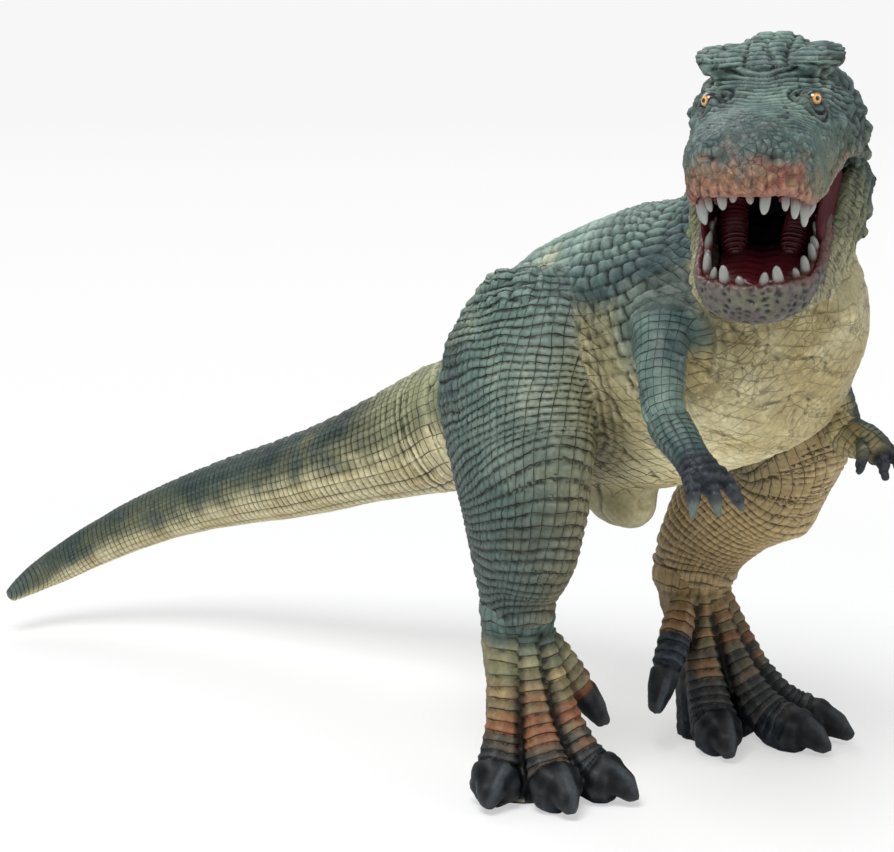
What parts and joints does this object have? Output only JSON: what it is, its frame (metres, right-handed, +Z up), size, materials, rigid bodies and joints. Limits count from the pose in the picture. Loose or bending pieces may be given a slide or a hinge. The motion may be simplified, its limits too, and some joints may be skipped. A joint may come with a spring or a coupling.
{
  "type": "toy dinosaur figure",
  "caption": "Standing moulded two-legged dinosaur toy with a turned head, an open toothed mouth on a hinged jaw, turning forearms and a long turning tail.",
  "frame": {"origin": "under the middle of the figure's bounding box, on the surface it stands on", "axes": "+Z up, -Y the way the body faces, +X the figure's left side"},
  "size_m": [0.1436, 0.283, 0.1819],
  "materials": {
    "head_vinyl": "teal hand-painted vinyl, satin",
    "body_vinyl": "cream and olive hand-painted vinyl with a teal back, satin",
    "tail_vinyl": "olive hand-painted vinyl with dark bands, satin",
    "leg_vinyl": "teal to tan hand-painted vinyl, satin",
    "foot_vinyl": "brown to blue-black hand-painted vinyl, satin",
    "hand_vinyl": "dark blue-grey painted vinyl, satin",
    "jaw_vinyl": "purple-grey speckled painted vinyl, satin",
    "mouth_vinyl": "dark red painted vinyl, gloss",
    "tooth_plastic": "grey-white painted plastic, gloss",
    "eye_plastic": "amber painted plastic, gloss",
    "plug_plastic": "bare plastic"
  },
  "bodies": {
    "figure": {"torso_shell": "body_vinyl", "head_shell": "head_vinyl", "palate": "mouth_vinyl", "upper_teeth": "tooth_plastic", "left_eye": "eye_plastic", "right_eye": "eye_plastic", "jaw_pin": "plug_plastic", "neck_plug": "plug_plastic", "right_leg": "leg_vinyl", "left_leg": "leg_vinyl", "right_foot": "foot_vinyl", "left_foot": "foot_vinyl", "right_elbow_plug": "plug_plastic", "left_elbow_plug": "plug_plastic", "right_hip_plug": "plug_plastic", "left_hip_plug": "plug_plastic", "tail_plug": "plug_plastic"},
    "jaw": {"lower_jaw": "jaw_vinyl", "lower_teeth": "tooth_plastic", "tongue": "mouth_vinyl"},
    "right_forearm_body": {"right_forearm": "hand_vinyl"},
    "left_forearm_body": {"left_forearm": "hand_vinyl"},
    "tail_body": {"tail": "tail_vinyl"}
  },
  "joints": [
    {"name": "jaw_hinge", "type": "hinge", "parent": "figure", "child": "jaw", "pos_m": [0.01895, -0.09934, 0.157], "axis": [0.6529, -0.7566, 0.0347], "range_deg": [-8, 0]},
    {"name": "right_forearm_swivel", "type": "hinge", "parent": "figure", "child": "right_forearm_body", "pos_m": [-0.0147, -0.10334, 0.0978], "axis": [0.1575, 0.7341, 0.6605], "range_deg": [-60, 60]},
    {"name": "left_forearm_swivel", "type": "hinge", "parent": "figure", "child": "left_forearm_body", "pos_m": [0.0493, -0.09134, 0.0858], "axis": [-0.2029, 0.8116, 0.5478], "range_deg": [-60, 60]},
    {"name": "tail_swivel", "type": "hinge", "parent": "figure", "child": "tail_body", "pos_m": [0.0147, 0.01666, 0.077], "axis": [-0.1846, 0.8946, -0.407], "range_deg": [-8, 60]}
  ]
}
